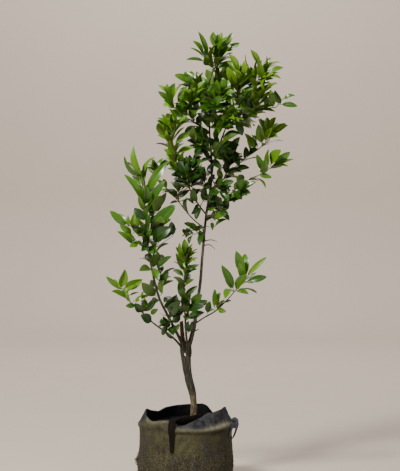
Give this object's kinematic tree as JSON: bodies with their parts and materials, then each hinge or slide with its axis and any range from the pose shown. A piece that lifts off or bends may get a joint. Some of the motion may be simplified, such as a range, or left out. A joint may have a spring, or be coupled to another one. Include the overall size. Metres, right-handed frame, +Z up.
{
  "type": "citrus sapling in a fabric grow bag",
  "caption": "Young potted citrus sapling with a low-forking trunk, upright leafy shoots and a soft black fabric grow bag round its root ball.",
  "frame": {"origin": "middle of the grow bag's flat underside, at the surface that it stands on", "axes": "+Z up along the trunk, -Y the front, +X to the right seen from the front"},
  "size_m": [0.6154, 0.3438, 1.452],
  "materials": {
    "felt": "dusty nonwoven felt, matt",
    "webbing": "woven webbing, matt",
    "soil": "dark crumbly potting soil",
    "bark": "grey-brown finely furrowed bark",
    "cut_wood": "weathered reddish brown stub",
    "young_leaf": "glossy young leaves",
    "leaf": "glossy leaves",
    "old_leaf": "glossy dark old leaves",
    "light_leaf": "glossy pale green leaves"
  },
  "bodies": {
    "root": {"crotch_leaves": "old_leaf", "crown_back": "leaf", "crown_back_right": "leaf", "crown_front": "leaf", "crown_front_low": "leaf", "far_right_shoot": "young_leaf", "front_strap": "webbing", "grow_bag": "felt", "handle": "webbing", "high_inner_shoot": "young_leaf", "high_left_rosette": "young_leaf", "high_right_shoot": "young_leaf", "leader": "bark", "leader_back_leaves": "old_leaf", "leader_leaves": "old_leaf", "left_bough": "bark", "left_bough_low": "old_leaf", "left_bough_middle": "old_leaf", "left_bough_right": "old_leaf", "left_bough_side": "young_leaf", "left_bough_top": "leaf", "left_bough_upper": "young_leaf", "left_fork": "bark", "left_inner_shoot": "leaf", "left_shoot": "young_leaf", "left_stem_leaves": "old_leaf", "left_twig": "bark", "left_twig_leaves": "old_leaf", "left_twig_tip": "leaf", "low_leader_leaves": "old_leaf", "low_left_bough": "bark", "low_left_leaves": "light_leaf", "low_left_shoot": "light_leaf", "low_right_bough": "bark", "low_right_leaves": "old_leaf", "low_right_shoot": "young_leaf", "mid_back_shoot": "old_leaf", "mid_front_shoot": "old_leaf", "mid_left_front": "old_leaf", "mid_left_shoot": "young_leaf", "mid_low_shoot": "old_leaf", "mid_right_bough": "bark", "mid_right_shoot": "young_leaf", "middle_bough": "bark", "middle_leaves": "old_leaf", "middle_low_leaves": "old_leaf", "middle_rosette": "young_leaf", "narrow_leaves": "old_leaf", "pruned_stub": "cut_wood", "right_arm": "bark", "right_bough": "bark", "right_shoot": "young_leaf", "right_shoot_leaves": "light_leaf", "right_shoot_tip": "light_leaf", "second_stem": "bark", "soil": "soil", "top_back": "young_leaf", "top_rosette": "young_leaf", "trunk": "bark", "upper_left_bough": "bark"}
  },
  "joints": []
}
